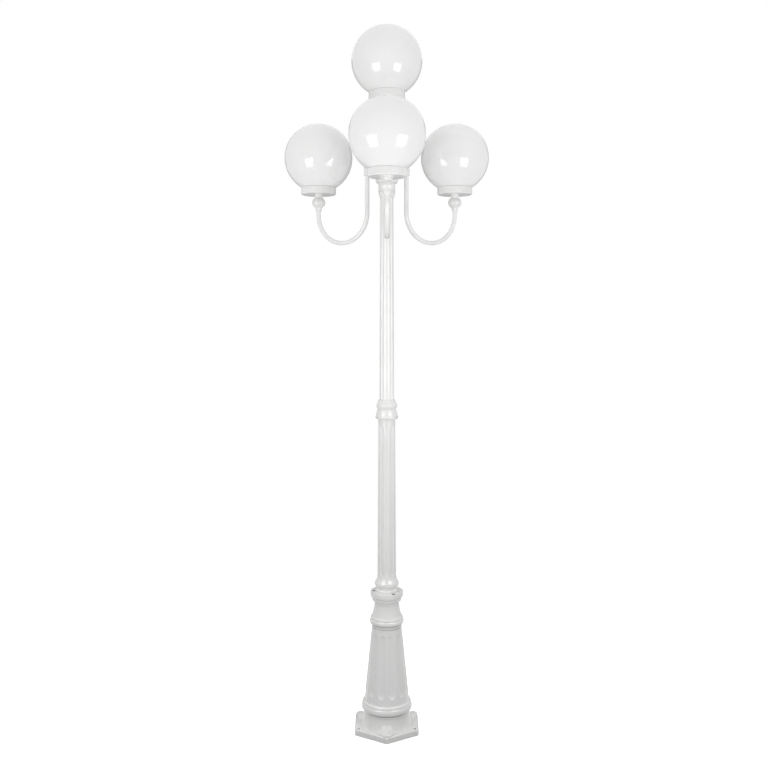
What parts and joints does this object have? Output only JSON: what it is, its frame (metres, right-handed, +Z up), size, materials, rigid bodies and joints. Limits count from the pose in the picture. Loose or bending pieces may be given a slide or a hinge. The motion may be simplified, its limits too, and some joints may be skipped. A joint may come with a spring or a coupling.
{
  "type": "four globe lamp post",
  "caption": "Fluted garden lamp post on a hexagonal foot, with hooped arms and a riser that each carry an opal globe in a twist-lock gallery.",
  "frame": {"origin": "centre of the hexagonal foot's underside, on the ground", "axes": "+Z up along the post, -Y towards the front arm, +X to the right seen from the front"},
  "size_m": [0.754, 0.6865, 2.5007],
  "materials": {
    "white_casting": "gloss",
    "white_tube": "gloss",
    "white_spun": "gloss",
    "bare_aluminium": "satin",
    "opal_globe": "gloss",
    "plated_screw": "satin",
    "blackened_screw": "satin",
    "brass": "satin",
    "terminal_plastic": "matte",
    "cable_sheath": "matte",
    "gasket_rubber": "matte",
    "holder_ceramic": "satin",
    "lamp_cap": "satin",
    "lamp_bulb": "satin"
  },
  "bodies": {
    "post": {"foot": "white_casting", "pedestal": "white_casting", "clamp_ring": "white_casting", "lower_shaft": "white_casting", "joint_collar": "white_casting", "upper_shaft": "white_casting", "top_ferrule": "white_casting", "arm_hub": "white_casting", "joint_spigot": "bare_aluminium", "riser_tube": "white_tube", "foot_screws": "plated_screw", "clamp_screws": "blackened_screw", "terminal_screws": "plated_screw", "joint_grub_screws": "plated_screw", "ferrule_grub_screws": "plated_screw", "arm_grub_screws": "plated_screw", "earth_screw": "brass", "terminal_block": "terminal_plastic", "nipples": "plated_screw", "locknuts": "plated_screw", "arm_front": "white_tube", "arm_right": "white_tube", "arm_left": "white_tube", "lamp_cable_front": "cable_sheath", "knob_front": "white_casting", "gallery_front": "white_spun", "gasket_front": "gasket_rubber", "lampholder_front": "holder_ceramic", "lamp_cap_front": "lamp_cap", "lamp_bulb_front": "lamp_bulb", "lamp_cable_right": "cable_sheath", "knob_right": "white_casting", "gallery_right": "white_spun", "gasket_right": "gasket_rubber", "lampholder_right": "holder_ceramic", "lamp_cap_right": "lamp_cap", "lamp_bulb_right": "lamp_bulb", "lamp_cable_left": "cable_sheath", "knob_left": "white_casting", "gallery_left": "white_spun", "gasket_left": "gasket_rubber", "lampholder_left": "holder_ceramic", "lamp_cap_left": "lamp_cap", "lamp_bulb_left": "lamp_bulb", "lamp_cable_top": "cable_sheath", "knob_top": "white_casting", "gallery_top": "white_spun", "gasket_top": "gasket_rubber", "lampholder_top": "holder_ceramic", "lamp_cap_top": "lamp_cap", "lamp_bulb_top": "lamp_bulb", "shaft_flange": "bare_aluminium"},
    "globe_front": {"globe_front": "opal_globe"},
    "globe_right": {"globe_right": "opal_globe"},
    "globe_left": {"globe_left": "opal_globe"},
    "globe_top": {"globe_top": "opal_globe"}
  },
  "joints": [
    {"name": "globe_front_twist", "type": "hinge", "parent": "post", "child": "globe_front", "pos_m": [0, -0.291, 1.94], "axis": [0, 0, 1], "range_deg": [0, 30]},
    {"name": "globe_right_twist", "type": "hinge", "parent": "post", "child": "globe_right", "pos_m": [0.25201, 0.1455, 1.94], "axis": [0, 0, 1], "range_deg": [0, 30]},
    {"name": "globe_left_twist", "type": "hinge", "parent": "post", "child": "globe_left", "pos_m": [-0.25201, 0.1455, 1.94], "axis": [0, 0, 1], "range_deg": [0, 30]},
    {"name": "globe_top_twist", "type": "hinge", "parent": "post", "child": "globe_top", "pos_m": [0, 0, 2.256], "axis": [0, 0, 1], "range_deg": [0, 30]}
  ]
}
